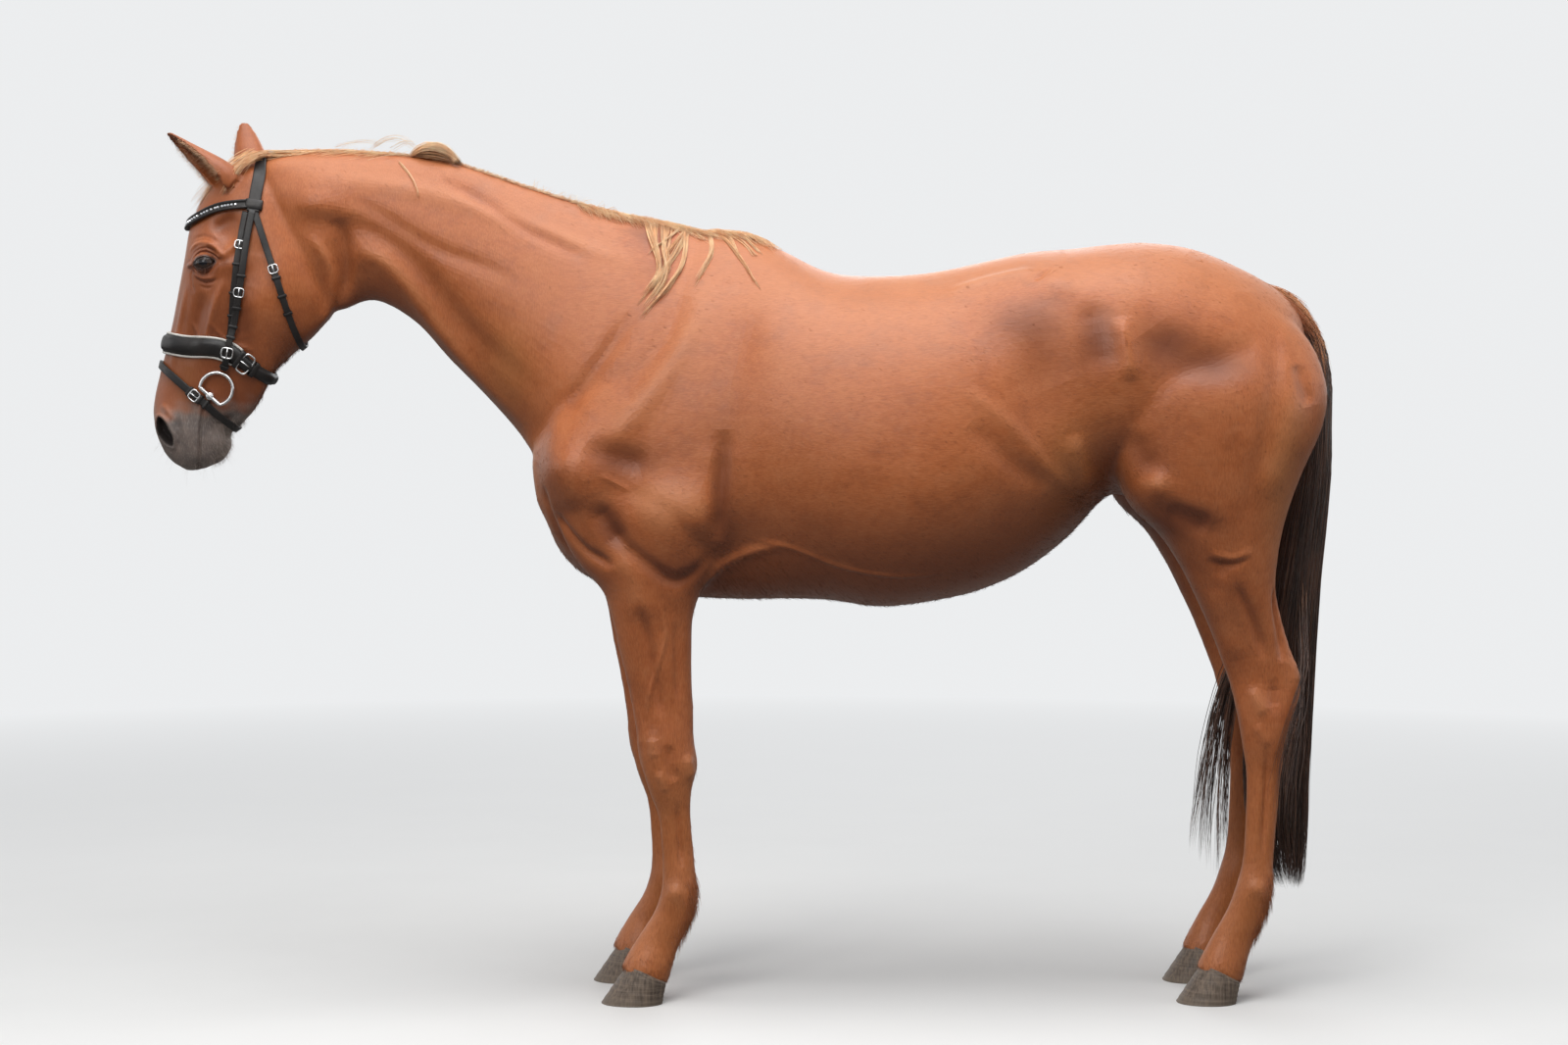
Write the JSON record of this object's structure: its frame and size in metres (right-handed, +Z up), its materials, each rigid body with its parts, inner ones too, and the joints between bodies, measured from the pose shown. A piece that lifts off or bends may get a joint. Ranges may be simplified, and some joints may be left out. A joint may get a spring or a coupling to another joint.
{
  "type": "standing horse wearing a bridle",
  "caption": "Life-size still chestnut horse standing square, in a padded bridle with a D-ring snaffle bit, without reins.",
  "frame": {"origin": "on the ground, midway between the foremost and rearmost points of the horse's length, on its middle plane", "axes": "+Z up, -Y towards the horse's nose, +X towards the horse's left side"},
  "size_m": [0.66, 2.5685, 1.9113],
  "materials": {
    "coat": "short chestnut hair over skin, semi-gloss",
    "mane_hair": "long flaxen-chestnut hair",
    "tail_hair": "long dark brown hair with reddish lights",
    "hoof_horn": "horn, satin",
    "eye": "wet, dark brown",
    "bridle_leather": "black leather, satin",
    "bit_steel": "polished steel"
  },
  "bodies": {
    "root": {"head": "coat", "neck": "coat", "trunk": "coat", "ear_left": "coat", "ear_right": "coat", "fore_leg_left": "coat", "fore_leg_right": "coat", "hind_leg_left": "coat", "hind_leg_right": "coat", "mane": "mane_hair", "mane_lock_1": "mane_hair", "mane_lock_2": "mane_hair", "mane_lock_3": "mane_hair", "forelock": "mane_hair", "tail_top": "tail_hair", "tail_middle": "tail_hair", "tail_end": "tail_hair", "tail_lock": "tail_hair", "hoof_fore_left": "hoof_horn", "hoof_fore_right": "hoof_horn", "hoof_hind_left": "hoof_horn", "hoof_hind_right": "hoof_horn", "eye_left": "eye", "eye_right": "eye", "bridle_headpiece": "bridle_leather", "bridle_browband": "bridle_leather", "bridle_throatlatch": "bridle_leather", "bridle_noseband": "bridle_leather", "bridle_flash_strap": "bridle_leather", "bridle_cheekpiece_left": "bridle_leather", "bridle_cheekpiece_right": "bridle_leather", "bridle_noseband_strap_left": "bridle_leather", "bridle_noseband_strap_right": "bridle_leather", "bit_ring_left": "bit_steel", "bit_ring_right": "bit_steel"}
  },
  "joints": []
}
